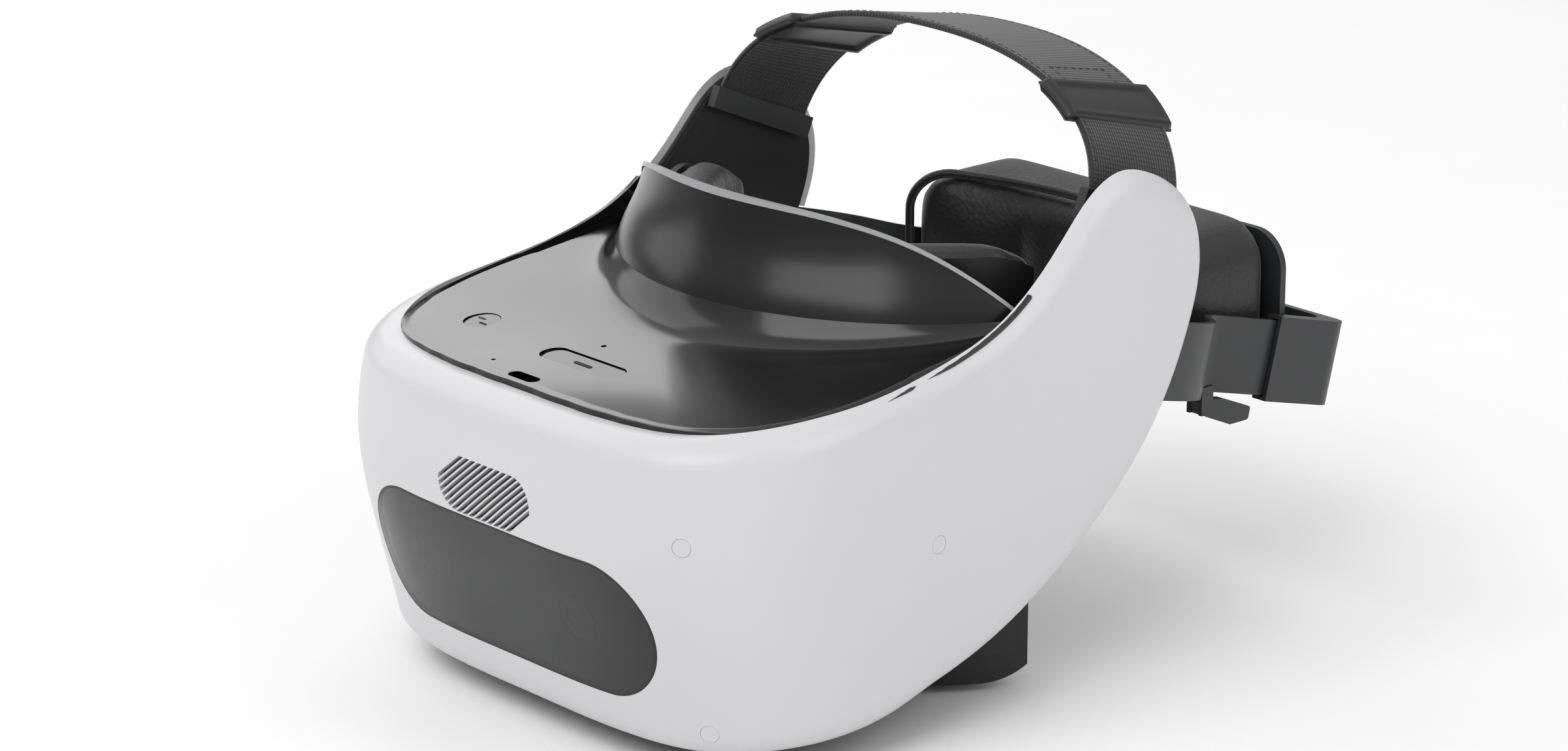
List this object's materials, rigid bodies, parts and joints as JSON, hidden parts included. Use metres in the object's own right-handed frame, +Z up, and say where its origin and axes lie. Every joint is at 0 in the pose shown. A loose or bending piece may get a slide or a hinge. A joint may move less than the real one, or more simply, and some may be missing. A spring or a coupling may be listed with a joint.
{
  "type": "vr headset",
  "caption": "All-in-one VR headset with sweeping white arms, dark camera window, padded face rest, crown strap and rear tension dial.",
  "frame": {"origin": "on the middle plane, half way along the length from the front face to the rear dial, level with the cheek pads' lowest point", "axes": "+X is the wearer's left, +Y points back from the front window to the rear dial, +Z is up"},
  "size_m": [0.1926, 0.3026, 0.1879],
  "materials": {
    "white_abs": "satin",
    "black_gloss": "gloss",
    "black_matte": "matte",
    "rim_grey": "satin",
    "dark_glass": "gloss",
    "clear_glass": "gloss",
    "grey_plastic": "satin",
    "leatherette": "soft grain",
    "webbing": "woven",
    "soft_rubber": "matte",
    "steel": "brushed",
    "aluminium": "satin",
    "board": "satin",
    "status_light": "gloss"
  },
  "bodies": {
    "front": {"outer_shell": "white_abs", "sensor_plugs": "white_abs", "top_deck": "black_gloss", "brow_shroud": "black_gloss", "shroud_rim": "rim_grey", "arm_liner_left": "black_matte", "arm_liner_right": "black_matte", "bottom_cover": "black_matte", "face_wall": "black_matte", "face_frame": "black_matte", "face_cushion": "leatherette", "nose_flap": "soft_rubber", "visor_window": "dark_glass", "visor_gasket": "black_gloss", "camera_bracket": "black_matte", "camera_left": "black_matte", "camera_right": "black_matte", "camera_glass_left": "clear_glass", "camera_glass_right": "clear_glass", "grille_screen": "black_matte", "fan_housing": "black_matte", "heat_sink": "aluminium", "main_board": "board", "battery_pack": "black_matte", "optics_plate": "black_matte", "guide_rods": "steel", "rod_holders": "black_matte", "ipd_bearing": "black_matte", "rocker_cradle": "black_matte", "usb_shell": "steel", "usb_tongue": "black_matte", "status_led": "status_light", "mic_mesh": "steel", "headphone_jack": "black_matte", "side_band_left": "grey_plastic", "side_band_right": "grey_plastic", "tab_clip_left": "grey_plastic", "tab_clip_right": "grey_plastic", "top_strap": "webbing", "strap_buckle_left": "grey_plastic", "strap_buckle_right": "grey_plastic", "strap_anchor_left": "grey_plastic", "strap_anchor_right": "grey_plastic"},
    "optics_left": {"lens_barrel_left": "black_matte", "lens_left": "clear_glass", "display_left": "black_gloss"},
    "optics_right": {"lens_barrel_right": "black_matte", "lens_right": "clear_glass", "display_right": "black_gloss"},
    "fan": {"fan_rotor": "black_matte"},
    "ipd": {"ipd_wheel": "grey_plastic"},
    "power": {"power_button": "black_gloss"},
    "rocker": {"volume_rocker": "black_gloss"},
    "rear": {"rear_housing": "grey_plastic", "rear_pad_shell": "grey_plastic", "rear_cushion": "leatherette"},
    "dial": {"tension_dial": "grey_plastic"},
    "tab_left": {"release_tab_left": "grey_plastic"},
    "tab_right": {"release_tab_right": "grey_plastic"}
  },
  "joints": [
    {"name": "dial_turn", "type": "hinge", "parent": "rear", "child": "dial", "pos_m": [0, 0.13736, 0.07112], "axis": [0, 0.9686, -0.2487], "range_deg": [-180, 0]},
    {"name": "rear_slide", "type": "slide", "parent": "front", "child": "rear", "axis": [0, 0.9686, -0.2487], "range_m": [-0.014, 0]},
    {"name": "ipd_turn", "type": "hinge", "parent": "front", "child": "ipd", "pos_m": [0.045, -0.10619, 0.016], "axis": [0, 1, 0], "range_deg": [-150, 210]},
    {"name": "optics_left_slide", "type": "slide", "parent": "front", "child": "optics_left", "axis": [1, 0, 0], "range_m": [-0.0025, 0.0035]},
    {"name": "optics_right_slide", "type": "slide", "parent": "front", "child": "optics_right", "axis": [1, 0, 0], "range_m": [-0.0035, 0.0025]},
    {"name": "fan_spin", "type": "hinge", "parent": "front", "child": "fan", "pos_m": [-0.0015, -0.14069, 0.074], "axis": [0, 1, 0], "continuous": true},
    {"name": "power_press", "type": "slide", "parent": "front", "child": "power", "axis": [0, 0.1357, -0.9907], "range_m": [0, 0.0005], "stiffness_N_per_m": 1500, "springref_m": -0.0003},
    {"name": "rocker_tilt", "type": "hinge", "parent": "front", "child": "rocker", "pos_m": [-0.0008, -0.11362, 0.10138], "axis": [0, 0.9907, 0.1357], "range_deg": [-2, 2], "stiffness_Nm_per_rad": 3},
    {"name": "tab_left_swing", "type": "hinge", "parent": "front", "child": "tab_left", "pos_m": [0.0738, 0.06791, 0.07326], "axis": [1, 0, 0], "range_deg": [-20, 0], "stiffness_Nm_per_rad": 0.08, "springref_deg": 5.73},
    {"name": "tab_right_swing", "type": "hinge", "parent": "front", "child": "tab_right", "pos_m": [-0.0738, 0.06791, 0.07326], "axis": [1, 0, 0], "range_deg": [-20, 0], "stiffness_Nm_per_rad": 0.08, "springref_deg": 5.73}
  ],
  "couplings": [
    {"joint": "dial_turn", "follows": "rear_slide", "rad_per_m": 224.4},
    {"joint": "ipd_turn", "follows": "optics_left_slide", "rad_per_m": 1047.2},
    {"joint": "optics_right_slide", "follows": "optics_left_slide", "ratio": -1}
  ]
}
